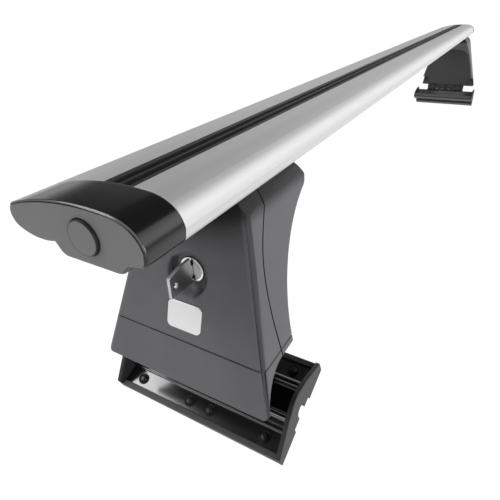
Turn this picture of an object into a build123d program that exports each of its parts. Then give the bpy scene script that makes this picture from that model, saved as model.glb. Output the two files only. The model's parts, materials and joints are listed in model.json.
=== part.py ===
from build123d import *
import os
from math import atan2, cos, degrees, radians, sin, sqrt

# Roof rack crossbar with two tower feet, in millimetres.
# X runs along the bar, -Y is its rounded leading edge, and Z is up.
# The origin lies midway between the feet, at the height of the bases' lowest edges.
# Each piece of a foot is drawn once, in the foot's own frame: u runs inboard from the bar's
# end, y across, and v up from the bar's axis. The left foot mirrors the right one.

# Bar
bar_length = 1215.0
cap_length = 25.0
axis_height = 171.1
bar_wall = 2.0

# Wing section, measured from the bar's axis
nose_reach = 32.9
tail_reach = 49.3
crown_rise = 14.1
crown_lead = 2.0
belly_drop = 14.0
belly_front = 17.5
belly_rear = 17.5
lobe_drop = 7.9
lobe_depth = 9.1
brow_lead = 16.0
shoulder_lead = 26.0
shoulder_rise = 10.2

# Slot in the bar's top, with its rubber strip
top_slot_middle = 2.4
top_slot_mouth = 18.0
top_slot_cavity = 24.0
top_slot_floor = 5.6
top_slot_roof = 11.0
strip_gap = 0.2
strip_flange = 2.2
strip_sink = 0.5
strip_ridge = 1.6
strip_groove = 4.6
strip_groove_depth = 1.6

# Slot in the bar's belly
belly_slot_mouth = 12.0
belly_slot_cavity = 22.0
belly_slot_roof = 5.4
belly_lip = 2.4
slot_wall = 2.0

# Screw port and webs inside the bar
port_radius = 2.0
port_wall = 2.0
web_reach = 10.5

# End caps
cap_wall = 2.6
cap_end_wall = 7.0
cap_bevel = 1.0
spigot_length = 18.0
spigot_gap = 0.25
plug_radius = 8.2
plug_gap = 0.05
plug_bore_depth = 4.0
plug_rise = 1.5
cap_screw_head = 4.0
cap_screw_head_height = 2.6
cap_screw_length = 32.0
screw_fit = 0.05

# Tower outline: the front leans inboard as it rises, and the sides lean in
front_lean_u = 57.8
front_lean_v = -60.0
front_slope = 0.2816
tower_top = -8.1
shoulder_v = -15.5
shoulder_half = 35.0
crest_half = 28.0
side_slope = 0.2625
skirt_rise = 33.55
skirt_depth = 24.3
skirt_corner = 4.0
skirt_tip = 3.0
hollow_back_u = 175.5
hollow_back_v = -107.0
hollow_back_radius = 92.0
nose_root_u = 140.4
nose_tip_u = 144.8
nose_tip_v = -15.5
nose_top_u = 142.5
tower_corner = 4.5
tower_wall = 2.8
tower_ceiling = -17.0
ceiling_half = 14.0
ceiling_shoulder_half = 25.5
ceiling_shoulder_v = -11.3
mouth_gap = 1.1
saddle_gap = 0.3
cut_reach = 140.0
cut_start = 30.0
cut_margin = 10.0

# Seam between the tower's two halves, by its depth as a share of the tower's height
seam = [(96.0, -0.045), (90.0, 0.081), (77.3, 0.307), (71.2, 0.536), (69.1, 0.806), (69.4, 1.0)]
seam_gap = 0.45
groove_rise = 4.0
groove_width = 0.8
groove_depth = 0.6
cover_gap = 0.3

# Lock in the cover's round recess
lock_share = 0.493
recess_floor_u = 65.0
recess_depth = 12.0
recess_radius = 13.4
recess_flare = 1.2
recess_bevel = 3.0
recess_wall = 2.5
sleeve_flange_radius = 8.25
sleeve_flange = 1.0
sleeve_radius = 7.5
sleeve_end_u = 75.0
lock_nut_radius = 10.5
lock_nut_height = 2.5
plug_core_radius = 6.45
core_end_u = 84.0
core_gap = 0.05
keyway_height = 8.4
keyway_width = 2.2
keyway_end_u = 82.3
cam_width = 8.0
cam_reach = 16.0
cam_thickness = 2.5
cam_square = 5.0
square_stand = 1.0
cam_gap = 0.3

# Key
key_thickness = 1.9
key_outer_u = 43.2
key_shoulder_u = 54.0
key_inner_u = 62.8
key_rise = 8.6
key_outer_rise = 6.2
key_drop = 7.8
key_corner = 1.0
key_hole_u = 47.4
key_hole_drop = 0.9
key_hole_radius = 1.8
key_blade_height = 8.0
key_blade_end_u = 82.0

# Plate under the lock
plate_width = 24.8
plate_height = 18.0
plate_thickness = 1.0
plate_corner = 3.5
plate_share = 0.7835
plate_sink = 0.5
plate_gap = 0.1

# Inner panel of the inboard side
panel_thickness = 2.6
panel_inset = 0.5
panel_gap = 0.2
panel_top_v = -32.5
panel_corner = 22.0
hollow_top_v = -26.5
tongue_half = 43.0
tongue_drop = 15.8
tongue_lap = 6.0
tongue_gap = 0.3

# Bracket inside the tower
steel = 4.0
web_u = 76.0
web_top_half = 28.0
web_foot_half = 42.0
web_drop = 27.0
web_ear_drop = 30.0
web_bend = 3.0
flange_half = 22.0
flange_end_u = 124.0
gusset_y = 19.5
gusset_width = 3.0
gusset_end_u = 116.0
gusset_drop = 41.0
lock_opening_radius = 7.6
cam_slot_half = 5.5
cam_slot_rise = 18.0

# Bolts
bolt_radius = 4.0
bolt_hole = 4.2
bolt_head_flat = 13.0
bolt_head_height = 5.3
nut_height = 6.5
small_screw_radius = 2.5
small_screw_head = 4.4
small_screw_head_height = 3.2
small_screw_length = 15.0

# Plate in the belly slot, and the bolts that hang the foot from it
bar_bolt_u = [97.0, 114.0]
slot_plate_length = 44.0
slot_plate_width = 20.0
slot_plate_height = 4.4
slot_plate_gap = 0.3
thread_fit = 0.05

# Base, which leans outboard: p runs up its slope from its middle line, q square to it
slope_angle = 23.109
base_mid_u = 78.84
base_half_span = 33.75
base_half = 65.0
pad_thickness = 2.5
pad_inner = 12.2
pad_bevel = 0.8
floor_top = 5.5
lip_inner = 29.95
lip_top = 8.0
rib_inner = 16.35
rib_width = 1.0
bead_middle = 11.1
bead_radius = 2.45
bead_top = 24.0
trough_floor = 19.0
trough_fillet = 1.8
channel_half = 10.5
channel_floor = 8.5
channel_roof = 16.0
channel_mouth_half = 4.25

# End plates of the base
end_plate_thickness = 3.0
end_plate_shoulder = 10.5
end_plate_knee_p = 14.0
end_plate_knee_q = 25.6
end_plate_peak = 33.2
end_plate_peak_radius = 10.0
end_plate_knee_radius = 14.0
end_notch_half = 11.8
end_notch_top = 5.0
end_slot_top = 14.5
peg_length = 12.0
peg_gap = 0.3
peg_inner = 5.2

# Rivets in the base's floors
rivet_collar_radius = 4.0
rivet_collar = 0.8
rivet_head = 2.2
rivet_head_top_radius = 1.9
rivet_sides = 16
rivet_shank = 3.4
rivet_shank_gap = 0.1
rivet_p = 23.75
rivet_y = [-51.5, -8.5, 8.5, 51.5]

# Lower bracket on the base's rail
clamp_thickness = 3.5
clamp_outer_p = -13.5
clamp_inner_p = 12.7
clamp_half = 42.0
ear_u = 72.0
ear_inner = 22.5
ear_outer = 40.0
ear_rise = 46.85
ear_corner = 5.0
ear_bolt_y = 29.0
ear_bolt_rise = 34.35
tab_half = 5.4
tab_rise = 40.85
ear_window_p = 8.1
base_bolt_y = 13.0
nut_plate_length = 48.0
nut_plate_height = 6.0
nut_plate_gap = 0.3

slope = radians(slope_angle)
base_mid_v = base_half_span * sin(slope) - axis_height
skirt_bottom = base_mid_v + skirt_rise
shell_bottom = skirt_bottom + skirt_depth
tower_height = tower_top - shell_bottom
groove_v = shell_bottom + groove_rise
lock_v = tower_top - lock_share * tower_height
plate_v = tower_top - plate_share * tower_height
ear_bolt_v = base_mid_v + ear_bolt_rise
ear_top_v = base_mid_v + ear_rise
web_foot_v = shell_bottom
web_bottom = shell_bottom - web_drop
web_ear_bottom = shell_bottom - web_ear_drop


# Helpers

def rectangle(left, right, low, high):
    """Rectangle between two pairs of limits."""
    return Pos((left + right) / 2, (low + high) / 2) * Rectangle(right - left, high - low)


def closed(*points):
    """Flat face inside a closed line of points."""
    return make_face(Polyline(*points, close=True))


def along(section, start, length):
    """Prism of a section drawn as (y, v), from u = start inboard."""
    return extrude(Plane.YZ.offset(start) * section, amount=length, dir=(1, 0, 0))


def across(section, width, middle=0.0):
    """Prism of a section drawn as (u, v), as wide as given about y = middle."""
    plane = Plane(origin=(0, middle, 0), x_dir=(1, 0, 0), z_dir=(0, -1, 0))
    return extrude(plane * section, amount=width / 2, both=True)


def sloped(section, width, middle=0.0):
    """Prism of a section drawn as (p, q) on the base's slope, about y = middle."""
    plane = Plane(
        origin=(base_mid_u, middle, base_mid_v),
        x_dir=(cos(slope), 0, sin(slope)),
        z_dir=(0, -1, 0),
    )
    return extrude(plane * section, amount=width / 2, both=True)


def slope_plane(q):
    """Plane on the base's slope at height q, with its normal up and outboard."""
    origin = (base_mid_u - q * sin(slope), 0, base_mid_v + q * cos(slope))
    return Plane(origin=origin, x_dir=(cos(slope), 0, sin(slope)), z_dir=(-sin(slope), 0, cos(slope)))


def rod(radius, start, end, y=0.0, v=0.0):
    """Round rod along u between two places."""
    return along(Pos(y, v) * Circle(radius), start, end - start)


def hexagon(flat, turn=0.0):
    """Hexagon of a bolt head, by the width across its flats."""
    return RegularPolygon(flat / 2, 6, major_radius=False, rotation=turn)


# Bar

def wing(grow=0.0):
    """Section of the bar as (y, v), grown all round by a clearance or shrunk by a wall."""
    tail_low = (tail_reach - 4.5, -lobe_drop + 1.8)
    tail_tip = (tail_reach, 1.0)
    tail_high = (tail_reach - 2.3, 6.2)
    lobe_root = (belly_rear + 4.2, -lobe_drop)
    lobe_middle = ((lobe_root[0] + tail_low[0]) / 2, -lobe_depth)
    nose = (-nose_reach, 0)
    brow_drop = (crown_rise - tail_high[1]) * ((brow_lead - crown_lead) / (tail_high[0] + crown_lead)) ** 2
    brow = (-brow_lead, crown_rise - brow_drop)
    shoulder = (-shoulder_lead, shoulder_rise)
    with BuildSketch() as section:
        with BuildLine():
            FilletPolyline(
                nose,
                (-nose_reach + 0.9, -lobe_drop + 0.9),
                (-nose_reach + 9.6, -lobe_drop - 0.4),
                (-belly_front, -belly_drop),
                (belly_rear, -belly_drop),
                lobe_root,
                radius=[4.0, 2.0, 7.0, 6.0],
            )
            lobe = ThreePointArc(lobe_root, lobe_middle, tail_low)
            TangentArc(tail_low, tail_tip, tangent=lobe % 1)
            ThreePointArc(tail_tip, (tail_reach - 0.7, 4.0), tail_high)
            top = ThreePointArc(tail_high, (-crown_lead, crown_rise), brow)
            front = TangentArc(brow, shoulder, tangent=top % 1)
            TangentArc(shoulder, nose, tangent=front % 1)
        make_face()
        if grow:
            offset(amount=grow, kind=Kind.TANGENT)
    return section.sketch


def slot_housings():
    """Channel walls, screw boss and webs inside the bar, before they are trimmed to it."""
    top_half = top_slot_cavity / 2 + slot_wall
    belly_half = belly_slot_cavity / 2 + slot_wall
    top = rectangle(
        top_slot_middle - top_half, top_slot_middle + top_half, top_slot_floor - slot_wall, crown_rise + 1
    )
    belly = rectangle(-belly_half, belly_half, -belly_drop - 1, -belly_slot_roof + slot_wall)
    boss = Circle(port_radius + port_wall)
    web = Rectangle(slot_wall, top_slot_floor + belly_slot_roof)
    return top + belly + boss + Pos(-web_reach, 0) * web + Pos(web_reach, 0) * web


def bar_cells():
    """Hollow cells of the bar's section, from the nose to the tail."""
    cells = wing(-bar_wall) - slot_housings()
    return cells.faces().sort_by(Axis.X)


def crossbar_profile():
    """Hollow wing extrusion with a slot above, a slot below and a screw port on its axis."""
    hollow = wing(-bar_wall) - slot_housings()
    half = top_slot_cavity / 2
    top_cavity = rectangle(top_slot_middle - half, top_slot_middle + half, top_slot_floor, top_slot_roof)
    half = top_slot_mouth / 2
    top_mouth = rectangle(top_slot_middle - half, top_slot_middle + half, top_slot_roof, crown_rise + 1)
    half = belly_slot_cavity / 2
    belly_cavity = rectangle(-half, half, -belly_drop + belly_lip, -belly_slot_roof)
    half = belly_slot_mouth / 2
    belly_mouth = rectangle(-half, half, -belly_drop - 1, -belly_drop + belly_lip)
    section = wing() - hollow - top_cavity - top_mouth - belly_cavity - belly_mouth - Circle(port_radius)
    return along(section, cap_length, bar_length - 2 * cap_length)


def slot_strip():
    """Rubber strip in the top slot: a flange under the lips, and a body with two grooves and a ridge."""
    half = top_slot_cavity / 2 - strip_gap
    flange_top = top_slot_roof - strip_gap / 2
    flange = rectangle(-half, half, flange_top - strip_flange, flange_top)
    half = top_slot_mouth / 2 - strip_gap
    crown = crown_rise - strip_sink
    body = rectangle(-half, half, flange_top - strip_flange, crown)
    inner = strip_ridge / 2
    outer = inner + strip_groove
    grooves = rectangle(-outer, -inner, crown - strip_groove_depth, crown)
    grooves += rectangle(inner, outer, crown - strip_groove_depth, crown)
    section = Pos(top_slot_middle, 0) * (flange + body - grooves)
    return along(section, cap_length, bar_length - 2 * cap_length)


def end_cap():
    """Moulded cap: bevelled end wall with a bore for the plug, and two spigots in the bar."""
    end_face = Plane.YZ * wing(-cap_bevel).face()
    cap = loft([end_face, Plane.YZ.offset(cap_bevel) * wing().face()], ruled=True)
    cap += along(wing(), cap_bevel, cap_length - cap_bevel)
    cap -= along(wing(-cap_wall), cap_end_wall, cap_length)
    cap += rod(port_radius + 2 * port_wall, cap_end_wall, cap_length)
    cells = bar_cells()
    for cell in (cells[0], cells[-1]):
        spigot = offset(Sketch() + cell, amount=-spigot_gap)
        cap += along(spigot, cap_end_wall, cap_length - cap_end_wall + spigot_length)
    cap -= rod(plug_radius + plug_gap, -plug_rise, plug_bore_depth)
    return cap - rod(port_radius + 2 * screw_fit, 0, cap_length)


def cap_plug():
    """Round plug over the cap's screw, standing a little proud of the end face."""
    return rod(plug_radius, -plug_rise, plug_bore_depth - cap_screw_head_height)


def cap_screw():
    """Screw through the cap into the bar's port."""
    head = rod(cap_screw_head, plug_bore_depth - cap_screw_head_height, plug_bore_depth)
    return head + rod(port_radius - screw_fit, plug_bore_depth, plug_bore_depth + cap_screw_length)


# Tower

def front_u(v, inset=0.0):
    """Place of the tower's front plane at a height, moved inboard square to itself."""
    return front_lean_u + front_slope * (v - front_lean_v) + inset * sqrt(1 + front_slope**2)


def side_y(v, inset=0.0):
    """Half-width of the tower at a height, moved inward square to the side."""
    return shoulder_half + side_slope * (shoulder_v - v) - inset * sqrt(1 + side_slope**2)


def hollow_back_point(v, inset=0.0):
    """Point of the tower's concave back at a height, moved into the tower."""
    radius = hollow_back_radius + inset
    return (hollow_back_u - sqrt(radius**2 - (v - hollow_back_v) ** 2), v)


def tower_side():
    """Side outline of the tower as (u, v), with its arched skirt and hollow back."""
    skirt_front = (front_u(skirt_bottom), skirt_bottom)
    arch_start = (skirt_front[0] + skirt_tip, skirt_bottom)
    arch_u = seam[-1][0]
    span = arch_u - arch_start[0]
    radius = (span**2 + skirt_depth**2) / (2 * skirt_depth)
    turn = atan2(span, radius - skirt_depth) / 2
    arch_middle = (arch_u - radius * sin(turn), shell_bottom - radius * (1 - cos(turn)))
    nose_rise = hollow_back_v + sqrt(hollow_back_radius**2 - (nose_root_u - hollow_back_u) ** 2)
    back_low = hollow_back_point(shell_bottom)
    with BuildSketch() as side:
        with BuildLine():
            Line(skirt_front, arch_start)
            ThreePointArc(arch_start, arch_middle, (arch_u, shell_bottom))
            Line((arch_u, shell_bottom), back_low)
            ThreePointArc(back_low, hollow_back_point(back_low[1] / 2), (nose_root_u, nose_rise))
            ThreePointArc((nose_root_u, nose_rise), (nose_tip_u, nose_tip_v), (nose_top_u, tower_top))
            Line((nose_top_u, tower_top), (front_u(tower_top), tower_top))
            Line((front_u(tower_top), tower_top), skirt_front)
        make_face()
    return side.sketch


def tower_front(inset=0.0):
    """Front outline of the tower as (y, v): a trapezium with bevelled shoulders."""
    low = skirt_bottom - inset
    return closed(
        (-side_y(low, inset), low),
        (side_y(low, inset), low),
        (side_y(shoulder_v, inset), shoulder_v),
        (crest_half - inset, tower_top),
        (inset - crest_half, tower_top),
        (-side_y(shoulder_v, inset), shoulder_v),
    )


def tower_block():
    """Outer body of the tower before it is hollowed, with rounded front and lower corners."""
    block = across(tower_side(), cut_reach) & along(tower_front(), cut_start, cut_reach)
    corners = [
        edge
        for edge in block.edges()
        if edge.length > 80 and abs(edge.center().X - front_u(edge.center().Z)) < 0.5
        and abs(edge.center().Y) > crest_half
    ]
    low_corners = [point for point in tower_front().vertices() if abs(point.Y - skirt_bottom) < 0.01]
    rounded = fillet(low_corners, skirt_corner)
    return fillet(corners, tower_corner) & along(rounded, cut_start, cut_reach)


def panel_outline(grow=0.0):
    """Outline of the inner panel as (y, v), with rounded top corners, grown by a clearance."""
    low = skirt_bottom - cut_margin
    top = panel_top_v + grow
    inset = tower_wall + panel_gap - grow
    outline = closed(
        (-side_y(low, inset), low), (side_y(low, inset), low), (side_y(top, inset), top), (-side_y(top, inset), top)
    )
    corners = [corner for corner in outline.vertices() if corner.Y > top - 0.01]
    return fillet(corners, panel_corner + grow)


def hollow_back_band(outer, inner):
    """Band along the tower's concave back as (u, v), between two depths."""
    low, high = shell_bottom - cut_margin, hollow_top_v + mouth_gap + 1
    middle = (low + high) / 2
    with BuildSketch() as band:
        with BuildLine():
            ThreePointArc(*[hollow_back_point(v, outer) for v in (low, middle, high)])
            Line(hollow_back_point(high, outer), hollow_back_point(high, inner))
            ThreePointArc(*[hollow_back_point(v, inner) for v in (high, middle, low)])
            Line(hollow_back_point(low, inner), hollow_back_point(low, outer))
        make_face()
    return band.sketch


def tower_cavity():
    """Room inside the tower, open below and through the hollow back."""
    low = skirt_bottom - cut_margin
    mouth_u = hollow_back_point(hollow_top_v, panel_inset)[0] + mouth_gap
    deep = closed(
        (-side_y(low, tower_wall), low),
        (side_y(low, tower_wall), low),
        (side_y(shoulder_v, tower_wall), shoulder_v),
        (ceiling_shoulder_half, ceiling_shoulder_v),
        (ceiling_half, tower_ceiling),
        (-ceiling_half, tower_ceiling),
        (-ceiling_shoulder_half, ceiling_shoulder_v),
        (-side_y(shoulder_v, tower_wall), shoulder_v),
    )
    room = closed(
        (front_u(low, tower_wall), low),
        (front_u(tower_top, tower_wall), tower_top),
        (mouth_u, tower_top),
        (mouth_u, hollow_top_v + mouth_gap),
        (mouth_u + cut_margin, low),
    )
    rim = across(hollow_back_band(-1.0, panel_inset + panel_thickness), cut_reach)
    rim -= along(panel_outline(panel_gap), cut_start, cut_reach)
    return (along(deep, cut_start, cut_reach) & across(room, cut_reach)) - rim


def grooved(block):
    """Block with the thin groove that runs round the tower above its skirt."""
    core = along(tower_front(groove_depth), cut_start, cut_reach) & across(
        closed(
            (front_u(skirt_bottom, groove_depth), skirt_bottom),
            (front_u(tower_top, groove_depth), tower_top),
            (cut_start + cut_reach, tower_top),
            (cut_start + cut_reach, skirt_bottom),
        ),
        cut_reach,
    )
    slot = Pos(0, groove_v) * Rectangle(cut_reach, groove_width)
    return block - (along(slot, cut_start, cut_reach) - core)


def seam_side(side):
    """Everything before (side -1) or behind (side 1) the seam, less half the seam's gap."""
    shift = side * seam_gap / 2
    points = [(u + shift, tower_top - share * tower_height) for u, share in seam]
    foot = (points[-1][0], skirt_bottom - cut_margin)
    far_u = points[-1][0] + side * cut_reach
    with BuildSketch() as half:
        with BuildLine():
            Spline(*points)
            Polyline(points[-1], foot, (far_u, foot[1]), (far_u, points[0][1]), points[0])
        make_face()
    return across(half.sketch, cut_reach)


def recess_section(grow=0.0):
    """Half section of the lock's round recess as (u, radius), with a bevelled floor."""
    rim_u = recess_floor_u - recess_depth
    return closed(
        (rim_u, 0),
        (rim_u, recess_radius + recess_flare + grow),
        (recess_floor_u - recess_bevel, recess_radius + grow),
        (recess_floor_u + grow, recess_radius - recess_bevel),
        (recess_floor_u + grow, 0),
    )


def recess_body(grow=0.0):
    """Turned body of the recess about the lock's axis."""
    plane = Plane(origin=(0, 0, lock_v), x_dir=(1, 0, 0), z_dir=(0, -1, 0))
    return revolve(plane * recess_section(grow), axis=Axis((0, 0, lock_v), (1, 0, 0)))


def plate_plane():
    """Plane on the tower's front, under the lock, with its normal outboard."""
    lean = sqrt(1 + front_slope**2)
    return Plane(
        origin=(front_u(plate_v), 0, plate_v),
        x_dir=(0, -1, 0),
        z_dir=(-1 / lean, 0, front_slope / lean),
    )


def tower_shell():
    """Hollow tower with its saddle cut to the bar."""
    shell = grooved(tower_block()) - tower_cavity()
    return shell - along(wing(saddle_gap), cut_start, cut_reach)


def front_cover(shell):
    """Outer half of the tower, with the lock's recess and a shallow bed for the plate."""
    cover = shell & seam_side(-1)
    cup = recess_body(recess_wall) & across(
        closed(
            (front_u(skirt_bottom), skirt_bottom),
            (front_u(tower_top), tower_top),
            (cut_start + cut_reach, tower_top),
            (cut_start + cut_reach, skirt_bottom),
        ),
        cut_reach,
    )
    cover = cover + cup - recess_body()
    cover -= rod(sleeve_radius + core_gap, recess_floor_u - 1, recess_floor_u + recess_wall + 1, v=lock_v)
    bed = plate_plane() * RectangleRounded(
        plate_width + 2 * plate_gap, plate_height + 2 * plate_gap, plate_corner + plate_gap
    )
    cover -= extrude(bed, amount=-plate_sink)
    ceiling = rectangle(-ceiling_half, ceiling_half, tower_ceiling - 1, tower_ceiling + cover_gap)
    return cover - along(ceiling, front_u(tower_ceiling, tower_wall), 40)


def badge_plate():
    """Bare plate with rounded corners, bedded in the cover's front."""
    face = plate_plane().offset(-plate_sink) * RectangleRounded(plate_width, plate_height, plate_corner)
    return extrude(face, amount=plate_thickness)


def rear_shell(shell):
    """Inner half of the tower: two side walls, the saddle and the nose under the bar."""
    half = shell & seam_side(1)
    for u in bar_bolt_u:
        half -= Pos(u, 0, tower_ceiling) * Cylinder(bolt_hole, 20)
    return half


def inner_panel():
    """Concave panel that closes the tower's inboard side, with a tongue over the bracket."""
    outer = panel_inset
    inner = panel_inset + panel_thickness
    bottom = shell_bottom
    above = rectangle(cut_start, cut_start + cut_reach, bottom, tower_top)
    panel = across(hollow_back_band(outer, inner) & above, cut_reach)
    panel &= along(panel_outline(), cut_start, cut_reach)
    tongue_u = web_u + steel + tongue_gap
    tongue = closed(
        (tongue_u, bottom - tongue_drop),
        (tongue_u + panel_thickness, bottom - tongue_drop),
        hollow_back_point(bottom, outer),
        hollow_back_point(bottom + tongue_lap, outer),
        hollow_back_point(bottom + tongue_lap, inner),
        (tongue_u, bottom),
    )
    return panel + across(tongue, 2 * tongue_half)


# Bracket inside the tower

def support_bracket():
    """Pressed bracket: an upright web, a flange under the bar, two gussets and its holes."""
    top = tower_ceiling
    web_outline = closed(
        (-web_foot_half, web_bottom),
        (-ear_outer - 0.5, web_bottom),
        (-ear_outer, web_ear_bottom),
        (-ear_inner + 1, web_ear_bottom),
        (-ear_inner + 1, web_bottom),
        (ear_inner - 1, web_bottom),
        (ear_inner - 1, web_ear_bottom),
        (ear_outer, web_ear_bottom),
        (ear_outer + 0.5, web_bottom),
        (web_foot_half, web_bottom),
        (web_foot_half, web_foot_v),
        (web_top_half, top - steel),
        (web_top_half, top),
        (-web_top_half, top),
        (-web_top_half, top - steel),
        (-web_foot_half, web_foot_v),
    )
    web = along(web_outline, web_u, steel)
    flange = across(rectangle(web_u, flange_end_u, top - steel, top), 2 * flange_half)
    corner = closed(
        (web_u + steel, top - steel),
        (web_u + steel + web_bend, top - steel),
        (web_u + steel, top - steel - web_bend),
    )
    bracket = web + flange + across(corner, 2 * flange_half)
    gusset = closed(
        (web_u + steel, top - steel), (gusset_end_u, top - steel), (web_u + steel, top - steel - gusset_drop)
    )
    for y in (-gusset_y, gusset_y):
        bracket += across(gusset, gusset_width, y)
    opening = Pos(0, lock_v) * Circle(lock_opening_radius)
    opening += rectangle(-cam_slot_half, cam_slot_half, lock_v, lock_v + cam_slot_rise)
    bracket -= along(opening, web_u - 1, steel + 2)
    for y in (-ear_bolt_y, ear_bolt_y):
        bracket -= rod(bolt_hole, web_u - 1, web_u + steel + 1, y, ear_bolt_v)
    bracket -= rod(small_screw_radius + thread_fit, web_u - 1, web_u + steel + 1, 0, ear_bolt_v)
    for u in bar_bolt_u:
        bracket -= Pos(u, 0, top) * Cylinder(bolt_hole, 3 * steel)
    return bracket


def slot_plate():
    """Tapped plate that slides in the belly slot."""
    low = -belly_drop + belly_lip + slot_plate_gap
    middle_u = sum(bar_bolt_u) / 2
    plate = Pos(middle_u, 0, low + slot_plate_height / 2) * Box(
        slot_plate_length, slot_plate_width, slot_plate_height
    )
    for u in bar_bolt_u:
        plate -= Pos(u, 0, low) * Cylinder(bolt_radius + thread_fit, 4 * slot_plate_height)
    return plate


def bar_bolts():
    """Bolts through the flange and the saddle into the slot plate, heads down."""
    head_top = tower_ceiling - steel
    shank_top = -belly_drop + belly_lip + slot_plate_gap + slot_plate_height + 0.2
    head = extrude(Pos(0, 0, head_top - bolt_head_height) * hexagon(bolt_head_flat), amount=bolt_head_height)
    shank = extrude(Pos(0, 0, head_top) * Circle(bolt_radius), amount=shank_top - head_top)
    return Part() + [Pos(u, 0, 0) * (head + shank) for u in bar_bolt_u]


# Base

def base_section():
    """Section of the base as (p, q): floors with lips, a hollow rail and its two beads."""
    bead_half = bead_middle + bead_radius
    section = rectangle(-base_half_span, base_half_span, pad_thickness, floor_top)
    section -= rectangle(-pad_inner + 0.5, pad_inner - 0.5, 0, floor_top)
    section += rectangle(-bead_half, bead_half, floor_top, trough_floor)
    bead_low = bead_top - bead_radius
    for side in (-1, 1):
        section += Pos(side * bead_middle, (trough_floor + bead_low) / 2) * Rectangle(
            2 * bead_radius, bead_low - trough_floor
        )
        section += Pos(side * bead_middle, bead_low) * Circle(bead_radius)
        lip_middle = side * (lip_inner + base_half_span) / 2
        section += Pos(lip_middle, (floor_top + lip_top) / 2) * Rectangle(
            base_half_span - lip_inner, lip_top - floor_top
        )
        rib_middle = side * (rib_inner + rib_width / 2)
        section += Pos(rib_middle, (floor_top + lip_top) / 2) * Rectangle(rib_width, lip_top - floor_top)
    trough = [
        point
        for point in section.vertices()
        if abs(point.Y - trough_floor) < 0.01 and abs(point.X) < bead_middle
    ]
    section = fillet(trough, trough_fillet)
    section -= rectangle(-channel_half, channel_half, channel_floor, channel_roof)
    return section - rectangle(-channel_mouth_half, channel_mouth_half, 0, channel_floor)


def rivet_places(q):
    """Places of the rivets on the slope, at height q."""
    spots = [(side * rivet_p, y) for side in (-1, 1) for y in rivet_y]
    return [slope_plane(q).location * Pos(p, y) for p, y in spots]


def base_profile():
    """Extruded base with its rivet holes and the holes of the bracket's bolts."""
    base = sloped(base_section(), 2 * base_half)
    for place in rivet_places(floor_top):
        hole = rivet_shank + 2 * rivet_shank_gap
        base -= place * Box(hole, hole, 4 * (floor_top - pad_thickness))
    for y in (-base_bolt_y, base_bolt_y):
        base -= slope_plane(trough_floor).location * Pos(0, y) * Cylinder(bolt_hole, 8)
    return base


def pad(side):
    """Rubber strip under one floor of the base, with bevelled lower edges."""
    inner = side * pad_inner
    outer = side * base_half_span
    strip = closed(
        (inner + side * pad_bevel, 0),
        (outer - side * pad_bevel, 0),
        (outer, pad_bevel),
        (outer, pad_thickness),
        (inner, pad_thickness),
        (inner, pad_bevel),
    )
    return sloped(strip, 2 * base_half)


def pad_rivets():
    """Rivets with a collar, a sloping head and a square shank, through the floors to the pads."""
    rim = RegularPolygon(rivet_collar_radius, rivet_sides)
    lean = degrees(atan2(rivet_collar_radius - rivet_head_top_radius, rivet_head))
    rivet = extrude(rim, amount=rivet_collar)
    rivet += extrude(Pos(0, 0, rivet_collar) * rim, amount=rivet_head, taper=lean)
    rivet += extrude(Rectangle(rivet_shank, rivet_shank), amount=pad_thickness - floor_top)
    return Part() + [place * rivet for place in rivet_places(floor_top)]


def end_plate(side):
    """Bell-shaped end plate of the base, with pegs in its channel."""
    bell = closed(
        (-base_half_span, 0),
        (base_half_span, 0),
        (base_half_span, end_plate_shoulder),
        (end_plate_knee_p, end_plate_knee_q),
        (0, end_plate_peak),
        (-end_plate_knee_p, end_plate_knee_q),
        (-base_half_span, end_plate_shoulder),
    )
    peak = [point for point in bell.vertices() if abs(point.X) < 0.01]
    bell = fillet(peak, end_plate_peak_radius)
    knees = [
        point
        for point in bell.vertices()
        if abs(abs(point.X) - end_plate_knee_p) < 0.01 and abs(point.Y - end_plate_knee_q) < 0.01
    ]
    bell = fillet(knees, end_plate_knee_radius)
    bell -= rectangle(-end_notch_half, end_notch_half, -1, end_notch_top)
    bell -= rectangle(-channel_mouth_half, channel_mouth_half, 0, end_slot_top - channel_mouth_half)
    bell -= Pos(0, end_slot_top - channel_mouth_half) * Circle(channel_mouth_half)
    plate = sloped(bell, end_plate_thickness, side * (base_half + end_plate_thickness / 2))
    for peg_side in (-1, 1):
        near = peg_side * peg_inner
        far = peg_side * (channel_half - peg_gap)
        peg = rectangle(min(near, far), max(near, far), channel_floor + peg_gap, channel_roof - peg_gap)
        plate += sloped(peg, peg_length, side * (base_half - peg_length / 2))
    return plate


def base_bracket():
    """Lower bracket: a flange across the rail's beads, two upturned ears and a middle tab."""
    top = bead_top + clamp_thickness
    bracket = sloped(rectangle(clamp_outer_p, clamp_inner_p, bead_top, top), 2 * clamp_half)
    rise = ear_top_v + axis_height
    for y in (-1, 1):
        middle = y * (ear_inner + ear_outer) / 2
        ear = across(rectangle(ear_u, web_u, ear_top_v - rise, ear_top_v), ear_outer - ear_inner, middle)
        tips = [
            edge
            for edge in ear.edges().filter_by(Axis.X)
            if abs(edge.center().Z - ear_top_v) < 0.01
        ]
        bracket += fillet(tips, ear_corner)
        window = rectangle(ear_window_p, clamp_inner_p + 1, bead_top - 1, top + 1)
        bracket -= sloped(window, ear_outer - ear_inner + 2, middle)
    tab_top_v = base_mid_v + tab_rise
    bracket += across(rectangle(ear_u, web_u, ear_top_v - rise, tab_top_v), 2 * tab_half)
    bracket -= sloped(rectangle(-cut_reach, cut_reach, bead_top - cut_reach, bead_top), 2 * cut_reach)
    for y in (-ear_bolt_y, ear_bolt_y):
        bracket -= rod(bolt_hole, ear_u - 1, web_u + 0.5, y, ear_bolt_v)
    bracket -= rod(small_screw_radius + thread_fit, ear_u - 1, web_u + 0.5, 0, ear_bolt_v)
    for y in (-base_bolt_y, base_bolt_y):
        bracket -= slope_plane(bead_top).location * Pos(0, y) * Cylinder(bolt_hole, 4 * clamp_thickness)
    return bracket


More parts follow.
